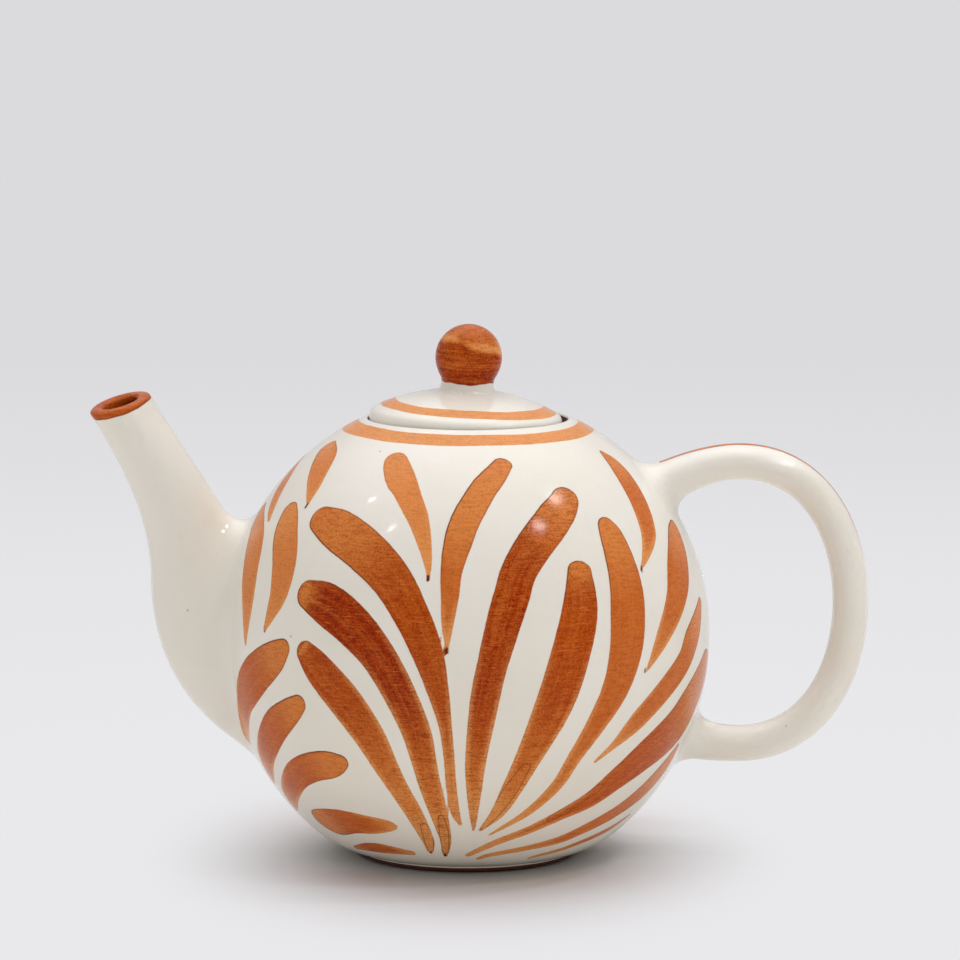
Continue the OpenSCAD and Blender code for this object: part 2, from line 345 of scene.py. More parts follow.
def spoutSides(s):
    # control points of the outer and inner side, as shares of the lip's diameter and the root's width
    lip = s["lipAcross"]
    root = s["rootWidth"]
    tilt = math.radians(s["lipTilt"])
    lean = math.radians(s["lipTilt"] + s["lipLean"])
    lipOut = np.array([-s["reach"], s["lipHeight"]])
    lipIn = lipOut + lip * np.array([math.cos(tilt), math.sin(tilt)])
    way = lip * np.array([-math.sin(lean), math.cos(lean)])
    neckOut = np.array([-s["neckX"], s["neckHeight"]])
    neckIn = neckOut + lip * np.array([1.12, 1.05])
    low = np.array([0.72 * lip - bodyForm["radius"], s["rootLow"]])
    high = np.array([0.92 * lip - bodyForm["radius"], s["rootHigh"]])
    outer = [[low, low + root * np.array([-0.575, 0.315]), neckOut - root * np.array([0.004, 0.61]), neckOut],
             [neckOut, neckOut + lip * np.array([-0.046, 0.92]), lipOut - 0.92 * way, lipOut]]
    inner = [[high, high - lip * np.array([0.61, 0]), neckIn + lip * np.array([0.153, -0.24]), neckIn],
             [neckIn, neckIn + lip * np.array([-0.33, 0.55]), lipIn - 0.61 * way, lipIn]]
    return outer, inner


def spoutPoint(t, angle, inset):
    # an ellipse across the two sides: half length from their distance, half width from root to lip
    s = spoutForm
    outer, inner = spoutSides(s)
    a = chain(outer, t)
    b = chain(inner, t)
    gap = np.linalg.norm(b - a, axis=-1)
    way = (b - a) / gap[..., None]
    midWidth = 1.2 * s["lipAcross"]
    k = np.clip(t - 1, 0, 1)
    ease = k * k * (3 - 2 * k)
    half = np.where(t < 1, midWidth / 2 + (s["rootWidth"] - midWidth) / 2 * np.clip(1 - t, 0, 1) ** 1.6,
                    s["lipAcross"] / 2 + (midWidth - s["lipAcross"]) / 2 * (1 - ease))
    # the wall is thicker near the root and at the lip
    near = np.clip((t - 1.5) / 0.5, 0, 1)
    inset = inset * (1 + s["lipThicker"] / s["wall"] * near ** 3)
    x = (gap / 2 - inset * (1 + 0.5 * np.clip(1 - t, 0, 1))) * np.cos(angle)
    y = (half - inset) * np.sin(angle)
    mid = (a + b) / 2 + way * x[..., None]
    # the lip is cut facing the front a little
    slide = y * math.tan(math.radians(s["lipFacing"])) * near * near * (3 - 2 * near)
    tilt = math.radians(s["lipTilt"])
    return np.stack([mid[..., 0] - slide * math.sin(tilt), y, mid[..., 1] + slide * math.cos(tilt)], -1)


def crossing(depth, t, level):
    # for each column, the t at which the depth first rises past the level
    out = np.argmax(depth > level, axis=0)
    k = np.maximum(out, 1)
    c = np.arange(depth.shape[1])
    a = depth[k - 1, c]
    b = depth[k, c]
    return t[k - 1] + (level - a) / (b - a) * (t[k] - t[k - 1])


# roots of spout and handle: how far they run into the body's wall, how far the fillet's edge lies in its
# skin, and how far the sunk ring is drawn in from that edge
roots = {"sink": 1.2, "skin": 0.03, "drawnIn": 0.4, "boreStart": 0.2}


def footOnBody(surface, angle, t, fillet, steps):
    # a fillet for each column: from where the tube leaves the body, drawn towards the crossing point,
    # to a point on the body; also gives where the plain tube takes over. The tube's centre is the mean of
    # two opposite points
    grid = surface(np.repeat(t[:, None], len(angle), 1), np.repeat(angle[None], len(t), 0))
    depth = bodyDepth(grid)
    meet = crossing(depth, t, 0)
    leave = crossing(depth, t, fillet)
    meetAt = surface(meet, angle)
    start = surface(leave, angle)
    away = meetAt - (surface(meet, np.zeros_like(meet)) + surface(meet, np.full_like(meet, math.pi))) / 2
    n = bodyNormal(meetAt)
    away -= n * np.sum(away * n, -1, keepdims=True)
    away /= np.linalg.norm(away, axis=-1, keepdims=True)
    rest = ontoBody(meetAt + away * fillet, roots["skin"])
    under = ontoBody(meetAt + away * (fillet - roots["drawnIn"]), roots["sink"])
    return [under, rest] + corner(rest, meetAt, start, steps), leave


def makeSpout():
    # rings from the fillet up the outside, round the lip and down the bore, closed into a loop
    s = spoutForm
    angle = np.linspace(0, 2 * math.pi, s["columns"], endpoint=False)
    tilt = math.radians(s["lipTilt"])
    lift = np.array([-math.sin(tilt), 0, math.cos(tilt)])
    fine = np.linspace(0, 1.2, 600)

    def outside(t, a):
        return spoutPoint(t, a, 0)

    def bore(t, a):
        return spoutPoint(t, a, s["wall"])

    rings, leave = footOnBody(outside, angle, fine, s["fillet"], s["filletRows"])
    # plain tube, each column from its own fillet to the lip
    k = np.linspace(0, 1, s["rows"])[:, None]
    for t in leave + (2 - leave) * k:
        rings.append(outside(t, angle))
    # round lip: half a turn from the outer wall to the bore
    curl = s["wall"] / 2
    crest = s["lipCrest"] * curl
    end = np.full_like(angle, 2.0)
    for a in np.linspace(0, math.pi, s["lipRows"])[1:-1]:
        rings.append(spoutPoint(end, angle, curl * (1 - math.cos(a))) + lift * crest * math.sin(a))
    depth = bodyDepth(bore(np.repeat(fine[:, None], len(angle), 1), np.repeat(angle[None], len(fine), 0)))
    inside = crossing(depth, fine, roots["boreStart"])
    for t in 2 + (inside - 2) * np.linspace(0, 1, s["boreRows"])[:, None]:
        rings.append(bore(t, angle))
    rings.append(ontoBody(bore(inside, angle), roots["sink"]))
    return closedSkin("spout", rings, True)


spoutPiece = makeSpout()
print("spout joined")

handleForm = {
    "reach": 120, "topHeight": 123.3, "lowHeight": 34, "armX": 85, "thickness": 11.2, "width": 16,
    "flare": 1.4, "fillet": 6.5, "columns": 96, "rows": 260, "filletRows": 8,
}


def handlePath(h):
    # four curves from the upper root, round the grip, to the lower root
    t = h["thickness"]
    gripHeight = (h["topHeight"] + h["lowHeight"]) / 2
    top = np.array([h["armX"], h["topHeight"]])
    low = np.array([h["armX"], h["lowHeight"]])
    grip = np.array([h["reach"], gripHeight])
    bow = np.array([h["reach"] - h["armX"], 0])
    rise = np.array([0, h["topHeight"] - gripHeight])
    topRoot = np.array([bodyForm["radius"] - 2 * t, h["topHeight"] - t])
    lowRoot = np.array([bodyForm["radius"] - 1.6 * t, h["lowHeight"] + 0.45 * t])
    return [[topRoot, topRoot + t * np.array([0.9, 0.5]), top - np.array([t, 0]), top],
            [top, top + 0.68 * bow, grip + 0.5 * rise, grip],
            [grip, grip - 0.5 * rise, low + 0.68 * bow, low],
            [low, low - np.array([0.63 * t, 0]), lowRoot + t * np.array([1.25, -0.36]), lowRoot]]


def handlePoint(t, angle):
    # an ellipse square to the path, growing towards both roots
    h = handleForm
    path = handlePath(h)
    p = chain(path, t)
    d = chain(path, np.minimum(t + 0.01, 4)) - chain(path, np.maximum(t - 0.01, 0))
    d /= np.linalg.norm(d, axis=-1, keepdims=True)
    flare = 1 + (h["flare"] - 1) * np.clip(np.abs(t - 2) - 1, 0, None) ** 2
    x = h["thickness"] / 2 * flare * np.cos(angle)
    return np.stack([p[..., 0] - d[..., 1] * x, h["width"] / 2 * flare * np.sin(angle),
                     p[..., 1] + d[..., 0] * x], -1)


def makeHandle():
    # rings from the upper fillet along the path to the lower fillet
    h = handleForm
    angle = np.linspace(0, 2 * math.pi, h["columns"], endpoint=False)
    fine = np.linspace(0, 2, 900)

    def fromBelow(t, a):
        return handlePoint(4 - t, a)

    rings, leaveTop = footOnBody(handlePoint, angle, fine, h["fillet"], h["filletRows"])
    last, leaveLow = footOnBody(fromBelow, angle, fine, h["fillet"], h["filletRows"])
    for k in np.linspace(0, 1, h["rows"]):
        rings.append(handlePoint(leaveTop + (4 - leaveLow - leaveTop) * k, angle))
    rings += last[::-1]
    return closedSkin("handle", rings)


handlePiece = makeHandle()
print("handle pulled")

lidForm = {
    "radius": 30.1, "edgeHeight": 4.2, "edgeRound": 1.8, "rise": 7.6, "wall": 4, "flangeDepth": 9,
    "flangeThickness": 3, "clearance": 1.1, "shift": 0.6, "steamHole": 3, "steamOffset": 15,
    "drillLength": 26, "rounds": (0, 0.5, 0.6, 0.9, 0.9, 0), "columns": 320, "domeRows": 70, "edgeRows": 6,
    "underRows": 30,
}
knobForm = {
    "across": 20.8, "middle": 17.4, "waistAcross": 16.4, "waist": 9.8, "baseAcross": 17.6,
    "ballEnd": 18, "ballRows": 60, "neckRows": 16, "neckPull": 3.2, "waistPull": 1.6,
    "toeOut": 1.1, "toeSink": 0.45, "spreadIn": 0.6, "spreadLift": 0.15, "spreadRows": 8, "rimSink": 1.6,
    "middleSink": 1.2, "columns": 128,
}
lidTop = mouthForm["seatHeight"] + lidForm["edgeHeight"]
domeArc = (lidForm["radius"] ** 2 + lidForm["rise"] ** 2) / (2 * lidForm["rise"])
domeZ = lidTop + lidForm["rise"] - domeArc
flangeRadius = mouthForm["throat"] - lidForm["clearance"]


def turnedPiece(name, outline, columns):
    # an outline of radius and height turned about the lid's own leaning axis
    angle = np.linspace(0, 2 * math.pi, columns, endpoint=False)
    rings = [fromMouth(turned(r, z, angle), lidForm["shift"]) for r, z in outline]
    return closedSkin(name, rings)


def softPath(spots, rounds, steps=5):
    # straight runs between the spots, each corner cut back by its round and drawn over as a curve
    spots = np.array(spots, float)
    out = [spots[0]]
    for k in range(1, len(spots) - 1):
        back = spots[k - 1] - spots[k]
        on = spots[k + 1] - spots[k]
        a = spots[k] + back / np.linalg.norm(back) * rounds[k]
        b = spots[k] + on / np.linalg.norm(on) * rounds[k]
        out += [a] + corner(a, spots[k], b, steps) + [b]
    return out + [spots[-1]]


def makeLid():
    # the outline runs over the dome, round the edge, down and up the flange and along the underside
    f = lidForm
    seat = mouthForm["seatHeight"]
    inner = flangeRadius - f["flangeThickness"]
    ceiling = domeArc - f["wall"]
    a = np.linspace(0, math.asin((f["radius"] - f["edgeRound"]) / domeArc), f["domeRows"])
    dome = [(0.3, domeZ + domeArc)] + list(zip(domeArc * np.sin(a[1:]), domeZ + domeArc * np.cos(a[1:])))
    shoulder = math.asin(f["radius"] / domeArc)
    brim = np.array([domeArc * math.sin(shoulder), domeZ + domeArc * math.cos(shoulder)])
    top = corner(np.array(dome[-1]), brim, brim - [0, f["edgeRound"]], f["edgeRows"])
    low = softPath([brim - [0, f["edgeRound"]], (f["radius"], seat), (flangeRadius, seat),
                    (flangeRadius, seat - f["flangeDepth"]), (inner, seat - f["flangeDepth"]),
                    (inner, domeZ + math.sqrt(ceiling ** 2 - inner ** 2))],
                   f["rounds"])
    a = np.linspace(math.asin(inner / ceiling), 0, f["underRows"])[1:]
    under = list(zip(ceiling * np.sin(a[:-1]), domeZ + ceiling * np.cos(a[:-1])))
    return turnedPiece("lid", dome + top + low + under, f["columns"])


def makeKnob():
    # a ball on a short waisted neck, its foot following the lid's dome
    k = knobForm
    rad = k["across"] / 2
    mid = lidTop + k["middle"]
    waist = lidTop + k["waist"]
    base = k["baseAcross"] / 2
    foot = domeZ + math.sqrt(domeArc ** 2 - base ** 2)
    ballEnd = math.radians(k["ballEnd"])
    a = np.linspace(math.pi / 2, -ballEnd, k["ballRows"])
    ball = list(zip(rad * np.cos(a[1:]), mid + rad * np.sin(a[1:])))
    # the ball's last tangent runs into the waist, and the waist out to the foot
    start = np.array(ball[-1])
    pulled = start - k["neckPull"] * np.array([math.sin(ballEnd), math.cos(ballEnd)])
    narrow = np.array([k["waistAcross"] / 2, waist])
    neck = bezier([start, pulled, narrow + [0, k["waistPull"]], narrow], np.linspace(0, 1, k["neckRows"])[1:])
    toe = np.array([base + k["toeOut"], foot - k["toeSink"]])
    spread = corner(narrow, np.array([base - k["spreadIn"], foot + k["spreadLift"]]), toe, k["spreadRows"])
    end = [toe, np.array([base, foot - k["rimSink"]]), np.array([0.4, foot - k["middleSink"]])]
    outline = [(0.2, mid + rad)] + ball + list(neck) + spread + end
    return turnedPiece("knob", outline, k["columns"])


lidPiece = makeLid()
lidLean = math.radians(mouthForm["lean"])
lidAxis = (math.sin(lidLean), 0, math.cos(lidLean))
steamAt = fromMouth(np.array([0, lidForm["steamOffset"], lidTop + lidForm["wall"]]), lidForm["shift"])
drill(lidPiece, [(tuple(steamAt), lidAxis, lidForm["steamHole"])], lidForm["drillLength"])
knobPiece = makeKnob()
print("lid and knob turned")

# brush strokes on the front, head to tail: degrees from the front towards the handle, height, width.
# a stroke's name begins with its group: leaves and fronds on the left, the middle fan with its petals, and
# the right sweep
strokes = {
    "leafA1": [(-90, 125, 1.5), (-81, 118.5, 6.5), (-74, 112, 5), (-69.5, 107.5, 1.2)],
    "leafA2": [(-74, 129.5, 6.5), (-64, 126, 10), (-57, 120, 6.5), (-54, 115, 1.5)],
    "leafB1": [(-84, 109, 6), (-72.5, 100.5, 12), (-67.5, 91.5, 11), (-64.5, 82, 7), (-63.5, 70.5, 1)],
    "leafB2": [(-61, 112, 7), (-58, 107, 11), (-53, 98.5, 11.5), (-51.5, 89.5, 9), (-53, 82.5, 5),
               (-54.5, 78, 2)],
    "frondC1": [(-47, 73, 5.5), (-51, 69, 10.5), (-57, 64, 13), (-63, 58.5, 13.5), (-68.5, 52.5, 11.5),
                (-72.5, 46, 9), (-77.5, 38, 5)],
    "frondC2": [(-42.5, 56.5, 5.5), (-46.5, 53, 8.5), (-52.5, 48, 10.5), (-58, 42.5, 10.5),
                (-64, 36.5, 9.5), (-70, 30, 8), (-73.5, 25, 3)],
    "frondC3": [(-32.5, 39, 5), (-37, 37.5, 9.5), (-43.5, 35.5, 10), (-50.5, 32, 9.5), (-58, 26.5, 8.5),
                (-66, 20.5, 7), (-70, 16.5, 2)],
    "frondC4": [(-52.5, 16, 9), (-48, 16, 12), (-40, 17.4, 10.8), (-31, 17.6, 8.6), (-25, 18, 5.5),
                (-22.5, 18, 2.5)],
    "frondC5": [(-47, 7, 2), (-33.5, 8.5, 6), (-20.5, 8, 2.8)],
    "fanD1": [(-46, 111.5, 8.5), (-37.5, 109, 13), (-27.5, 104, 13.5), (-19, 96.5, 12.5), (-13, 86, 11),
              (-9, 75, 9.5), (-6.5, 63, 6.5), (-5, 52.5, 4), (-4.3, 42.5, 3.3), (-4, 33.5, 3.2),
              (-3.2, 24, 2.8), (-1.8, 19.5, 1)],
    "fanD2": [(-42, 90, 8.5), (-35, 87.5, 13), (-27.5, 82, 13), (-21, 74, 11.5), (-16, 63.5, 10.5),
              (-12, 51, 9.3), (-10.3, 39.5, 7.6), (-9.4, 32.5, 6.9), (-8, 24, 5.7), (-6.8, 14, 3.6),
              (-7.7, 8.5, 2)],
    "fanD3": [(-40.5, 73, 7), (-36, 67.5, 11), (-29.5, 59, 12.3), (-24, 49, 11), (-20.5, 39, 8.6),
              (-18.3, 32.5, 7.1), (-15, 23, 5.9), (-12.7, 13.5, 4), (-12.9, 9.3, 2)],
    "petalE1": [(-28.9, 129, 7), (-26.8, 127.3, 8.4), (-23, 124, 9.2), (-19.3, 120.6, 8), (-14.1, 113.7, 6.5),
                (-11.2, 106.5, 4.3), (-9.8, 100.5, 2.2), (-9.5, 98, 1.2)],
    "petalE2": [(13.6, 128.5, 6), (8.2, 124.5, 8), (4.4, 121, 8.6), (-0.3, 113.9, 9.1), (-2.6, 106.7, 8.5),
                (-3.9, 99.3, 6.6), (-4.1, 91.9, 5.5), (-4.5, 84.3, 3.8), (-4.5, 77, 1.2)],
    "fanF1": [(31.6, 118.6, 8.6), (29, 116.2, 10), (25, 113, 11.3), (18, 106.3, 11.4), (13, 99.1, 10.9),
              (10.6, 91.7, 11), (8.5, 84.2, 10.6), (5.8, 72, 9.3), (4, 60.5, 8.8), (2.2, 42.5, 6.5),
              (1.9, 33.5, 5), (1.9, 24, 2.8), (2.1, 17.5, 0.8)],
    "fanF2": [(29, 98.5, 8), (27.5, 87, 12), (24.5, 74.5, 13), (20.5, 59, 12.5), (15.2, 42.5, 8.6),
              (12.1, 33, 6.9), (8.8, 24, 4.7), (4, 17.5, 1)],
    "fanF3": [(41.5, 110, 6.5), (42, 105.5, 10), (42, 93.5, 13), (41, 84, 14), (39.5, 73.5, 13),
              (36.5, 62, 10.5), (31.5, 50.5, 7.3), (27.2, 41, 5.2), (24, 32.5, 4.4), (17.3, 23.5, 3),
              (7, 15.7, 0.8)],
    "sweepG1": [(64, 129, 1.5), (64.5, 125, 7.5), (62.5, 119.5, 9.5), (58.5, 109.5, 8.5), (56, 105, 6.5),
                (49.5, 97.5, 1.5)],
    "sweepG2": [(74.5, 105.5, 5), (70.5, 101, 11), (64.5, 93, 13.5), (59.5, 85.5, 10.5), (52, 75.5, 6.5),
                (46.5, 67, 1.5)],
    "sweepG3": [(74.5, 82.5, 3), (69, 76, 8), (65, 71.5, 10), (61.5, 66.5, 9), (55, 60.5, 8.5),
                (49, 55, 8), (44, 50, 7), (38.5, 44, 3), (33.5, 39, 1)],
    "sweepG4": [(78, 61, 13), (71.5, 54.5, 16), (67, 49.5, 18), (61.5, 44.6, 17), (52, 38.7, 14.2),
                (43.5, 32.2, 10.8), (36.5, 26.1, 8), (28, 21.5, 5.2), (19.5, 17, 3.8), (10, 13, 3),
                (0.5, 8, 2)],
    "sweepG5": [(69.5, 37.5, 3), (66.5, 31.5, 8.5), (62.5, 27, 9.6), (59, 24, 9), (52.5, 20, 7.3),
                (46, 17, 6.4), (39.5, 14.4, 5.4), (33, 12, 4.6), (23, 10.2, 3.2), (9, 8, 2.4),
                (4.5, 6.5, 1.8)],
    "sweepG6": [(64, 16, 1.4), (58, 13, 3), (52.5, 11.3, 3.1), (44.5, 9.4, 2.8), (37, 7.6, 2.6),
                (29, 6.3, 2.2), (25.5, 5.5, 1.6)],
}
# beads of thick slip where the brush was lifted: degrees, height, width
beads = [(-54, 114, 1.0), (-55, 77, 1.1), (-9.5, 97, 1.2), (-4.5, 75.8, 1.2), (48.5, 96.3, 1.1),
         (45.5, 66, 1.1), (-7.8, 8, 1.1), (-13, 9, 1.0)]
# second touches of the brush, seen by their outline
touches = [
    [(-12.8, 19, 2.2), (-12.3, 15.2, 3.3), (-12.7, 9.8, 1.8)],
    [(-7.4, 22.4, 1.6), (-7, 17, 2.8), (-7.4, 9.2, 2)],
    [(14.6, 39, 2.9), (11.6, 32, 4.3), (8.2, 24.5, 3.6), (4.8, 18.4, 1.6)],
    [(38, 30, 2.4), (31, 24.5, 3), (25, 20.5, 2)],
]
# how strongly each group of strokes, or one stroke, is painted, how far around a stroke points are measured,
# and how the unseen back differs from the front
brush = {
    "leaf": 0.16, "frond": 0.36, "fan": 0.95, "petal": 0.18, "sweep": 0.3, "bead": 2.0, "headRound": 0.65,
    "reach": 14, "steps": 8, "leastWidth": 0.3, "skin": 1.5, "backSpread": 0.97, "backDrop": 1.0,
    "backLowest": 5.5, "fanD1": 0.6, "fanD3": 0.6, "fanF1": 0.8, "fanF2": 0.58, "fanF3": 0.32,
    "petalE1": 0.06, "petalE2": 0.3, "sweepG4": 0.42,
}
# where the slip lies deepest, as a share of the stroke's length
deepest = {
    "usual": 0.48, "fanD1": 0.5, "fanD2": 0.22, "fanD3": 0.1, "fanF1": 0.42, "fanF2": 0.24, "fanF3": 0.36,
    "petalE2": 0.75,
}


def spline(spots, steps):
    # a smooth run through the spots, each stretch a cubic with the slopes of its neighbours
    p = np.array(spots, float)
    p = np.vstack([2 * p[0] - p[1], p, 2 * p[-1] - p[-2]])
    t = np.linspace(0, 1, steps, endpoint=False)[None, :, None]
    a, b, c, d = (p[k:len(p) - 3 + k][:, None, :] for k in range(4))
    curve = (2 * a - 5 * b + 4 * c - d) * t ** 2 + (3 * b - a - 3 * c + d) * t ** 3
    run = 0.5 * (2 * b + (c - a) * t + curve)
    return np.vstack([run.reshape(-1, p.shape[1]), p[-2]])


def strokeLine(spots, back):
    # the stroke's middle line on the body's surface, and its half width along it
    run = spline(spots, brush["steps"])
    azimuth = np.radians(run[:, 0])
    z = run[:, 1]
    if back:
        azimuth = math.pi - azimuth * brush["backSpread"]
        z = np.maximum(z - brush["backDrop"], brush["backLowest"])
    r = bodyRadius(z)
    line = np.stack([r * np.sin(azimuth), -r * np.cos(azimuth), z], -1)
    return line, np.maximum(run[:, 2], brush["leastWidth"]) / 2


def paintStroke(p, paint, line, half, dark, cap, deepAt=deepest["usual"]):
    # distance from each point to the line less the half width there; the least over the line's
    # pieces is kept, with how far along and across the stroke the point lies; the share of the length
    # is raised to a power that puts the deepest place at the usual share
    low = line.min(0) - brush["reach"]
    high = line.max(0) + brush["reach"]
    near = np.where(np.all((p > low) & (p < high), axis=1))[0]
    if len(near) == 0:
        return
    a = line[:-1]
    piece = line[1:] - a
    length = np.linalg.norm(piece, axis=1)
    start = np.concatenate([[0], np.cumsum(length)])
    q = p[near][:, None, :] - a[None]
    t = np.einsum("nsk,sk->ns", q, piece) / length ** 2
    over = np.zeros_like(t)
    over[:, 0] = np.minimum(t[:, 0], 0) * length[0]
    t = np.clip(t, 0, 1)
    off = q - t[..., None] * piece[None]
    away = np.linalg.norm(off, axis=-1)
    # the head is blunter than a half circle
    flat = np.sqrt(np.maximum(away ** 2 - over ** 2, 0) + (over / cap) ** 2)
    away = np.where(over < 0, flat, away)
    width = half[:-1] + t * (half[1:] - half[:-1])
    edge = away - width
    k = np.argmin(edge, axis=1)
    row = np.arange(len(near))
    n = bodyNormal(p[near])
    side = np.sign(np.einsum("nk,nk->n", np.cross(piece[k], off[row, k]), n))
    best = edge[row, k] < paint["paintEdge"][near]
    put = near[best]
    kb = k[best]
    rb = row[best]
    paint["paintEdge"][put] = edge[rb, kb]
    paint["paintAlong"][put] = start[kb] + t[rb, kb] * length[kb]
    share = (start[kb] + t[rb, kb] * length[kb]) / start[-1]
    paint["paintRun"][put] = share ** (math.log(deepest["usual"]) / math.log(deepAt))
    paint["paintAcross"][put] = away[rb, kb] * side[best]
    paint["paintDark"][put] = dark


farAway = 30  # the paint's edge where nothing is painted


def freshPaint(count):
    # unpainted everywhere: the edge far away
    names = ("paintEdge", "paintAlong", "paintRun", "paintAcross", "paintDark", "touchEdge")
    paint = {n: np.zeros(count) for n in names}
    paint["paintEdge"] += farAway
    paint["touchEdge"] += farAway
    return paint


def paintBody(p):
    # all strokes of front and back on points that lie on the body's outer side
    paint = freshPaint(len(p))
    for back in (False, True):
        for name, spots in strokes.items():
            if back and name == "leafA1":
                continue
            group = name.rstrip("0123456789")[:-1]
            line, half = strokeLine(spots, back)
            paintStroke(p, paint, line, half, brush.get(name, brush[group]), brush["headRound"],
                        deepest.get(name, deepest["usual"]))
        for azimuth, z, width in beads:
            line, half = strokeLine([(azimuth, z + 0.5, width), (azimuth, z - 0.5, width)], back)
            paintStroke(p, paint, line, half, brush["bead"], 1.0)
    second = freshPaint(len(p))
    for spots in touches:
        line, half = strokeLine(spots, False)
        paintStroke(p, second, line, half, 0, 1.0)
    paint["touchEdge"] = second["paintEdge"]
    deep = bodyDepth(p) < -brush["skin"]
    paint["paintEdge"][deep] = farAway
    return paint


def addBand(paint, edge, across, along, dark, run):
    # a painted band wherever its edge is nearer than the strokes'
    best = edge < paint["paintEdge"]
    paint["paintEdge"] = np.where(best, edge, paint["paintEdge"])
    paint["paintAcross"] = np.where(best, across, paint["paintAcross"])
    paint["paintAlong"] = np.where(best, along, paint["paintAlong"])
    paint["paintRun"] = np.where(best, run, paint["paintRun"])
    paint["paintDark"] = np.where(best, dark, paint["paintDark"])


def keepPaint(ob, paint):
    # each measure becomes an attribute of the piece's points
    for name, values in paint.items():
        layer = ob.data.attributes.new(name, "FLOAT", "POINT")
        layer.data.foreach_set("value", values.astype(np.float32))


# a tone is how dark the band is, and the place along a stroke whose tone it has
bands = {
    "wander": 0.2, "upper": 120,
    "rimMiddle": 36.85, "rimHalf": 2.5, "rimShift": 0.3, "rimTone": (0.0, 0.98),
    "lidMiddle": 25.1, "lidHalf": 2.2, "lidShift": 0.8, "lidTone": (0.0, 0.98),
    "lipOutside": 1.4, "lipOneSided": 0.35, "lipInside": 10, "lipRound": 10, "lipTone": (0.5, 0.3),
    # the bore's tone: brown slip darkened as painted shade
    "boreSlipAndShadeTone": (1.15, 0.45),
    "handleHalf": 1.7, "handleFrom": 30, "handleTo": 372, "handleSteps": 400, "handleEvery": 4,
    "handleRound": 60, "handleTone": (0.3, 0.2),
    # knob: where the painted highlight below its top lies, how soft it is and how much lighter, and the
    # knob's own tone
    "knobHighlightFrom": 1.2, "knobSoft": 4, "knobSlant": 0.16, "knobTop": 5.0, "knobTopSoft": 1.8,
    "knobTopSlant": 0.07, "knobTopShare": 0.34, "knobRound": 10, "knobTone": (1.15, 0.42),
    "knobHighlightTone": (0.7, 0.55),
}


def wander(angle, seed):
    # a slow waver of a hand-held brush on a turning pot
    return bands["wander"] * (np.sin(2 * angle + seed) + 0.6 * np.sin(5 * angle + 2.3 * seed)
                              + 0.3 * np.sin(11 * angle + 4.1 * seed))


# body: strokes, then the band round the mouth
p = points(potBody)
paint = paintBody(p)
m = toMouth(p)
angle = np.arctan2(m[:, 1], m[:, 0])
r = np.hypot(m[:, 0] - bands["rimShift"], m[:, 1])
across = r - bands["rimMiddle"] + wander(angle, 1)
edge = np.abs(across) - bands["rimHalf"] + 0.4 * wander(angle, 3)
edge = np.where((bodyDepth(p) > -0.6) & (p[:, 2] > bands["upper"]), edge, farAway)
addBand(paint, edge, across, angle * bands["rimMiddle"], *bands["rimTone"])
keepPaint(potBody, paint)

# spout: strokes on its skirt, then the lip
p = points(spoutPiece)
paint = paintBody(p)
lipTilt = math.radians(spoutForm["lipTilt"])
lipAt = np.array([-spoutForm["reach"], spoutForm["lipHeight"]])
rise = (p[:, 0] - lipAt[0]) * -math.sin(lipTilt) + (p[:, 2] - lipAt[1]) * math.cos(lipTilt)
angle = np.arctan2(p[:, 1], p[:, 0] - lipAt[0] - spoutForm["lipAcross"] / 2)
rise -= p[:, 1] * math.tan(math.radians(spoutForm["lipFacing"]))
outside = bands["lipOutside"] * (1 - bands["lipOneSided"] * (1 + np.cos(angle)))
edge = 0.6 * wander(angle, 2) - rise - outside
addBand(paint, edge, rise, angle * bands["lipRound"], *bands["lipTone"])
# the bore is painted deeper down, in the darkest tone: brown slip, darkened as painted shade inside the spout
lipLean = math.radians(spoutForm["lipTilt"] + spoutForm["lipLean"])
lipCentre = lipAt + spoutForm["lipAcross"] / 2 * np.array([math.cos(lipTilt), math.sin(lipTilt)])
sideways = (p[:, 0] - lipCentre[0]) * math.cos(lipLean) + (p[:, 2] - lipCentre[1]) * math.sin(lipLean)
boreRadius = spoutForm["lipAcross"] / 2 - 0.6 * spoutForm["wall"]
inBore = (np.hypot(sideways, p[:, 1]) < boreRadius) & (p[:, 2] > bands["upper"]) & (rise < 0.9)
edge = np.where(inBore, -rise - bands["lipInside"] - 1, farAway)
addBand(paint, edge, rise, angle * bands["lipRound"], *bands["boreSlipAndShadeTone"])
keepPaint(spoutPiece, paint)

# handle: strokes on its skirts, then the stripe along its back
p = points(handlePiece)
paint = paintBody(p)
centre = np.array([handleForm["armX"], (handleForm["topHeight"] + handleForm["lowHeight"]) / 2])
turn = np.arctan2(p[:, 2] - centre[1], p[:, 0] - centre[0])
line = chain(handlePath(handleForm), np.linspace(0, 4, bands["handleSteps"]))
flat = p[:, [0, 2]]
gap = np.linalg.norm(flat[:, None, :] - line[None, ::bands["handleEvery"]], axis=-1)
nearest = np.argmin(gap, axis=1) * bands["handleEvery"]
tangent = np.gradient(line, axis=0)
tangent /= np.linalg.norm(tangent, axis=1, keepdims=True)
square = np.stack([-tangent[:, 1], tangent[:, 0]], -1)
outward = np.einsum("nk,nk->n", flat - line[nearest], square[nearest])
edge = np.abs(p[:, 1] + 2 * wander(turn, 5)) - bands["handleHalf"] + wander(turn * 2, 7)
onStripe = (outward > 0) & (nearest > bands["handleFrom"]) & (nearest < bands["handleTo"])
edge = np.where(onStripe, edge, farAway)
addBand(paint, edge, p[:, 1], turn * bands["handleRound"], *bands["handleTone"])
keepPaint(handlePiece, paint)

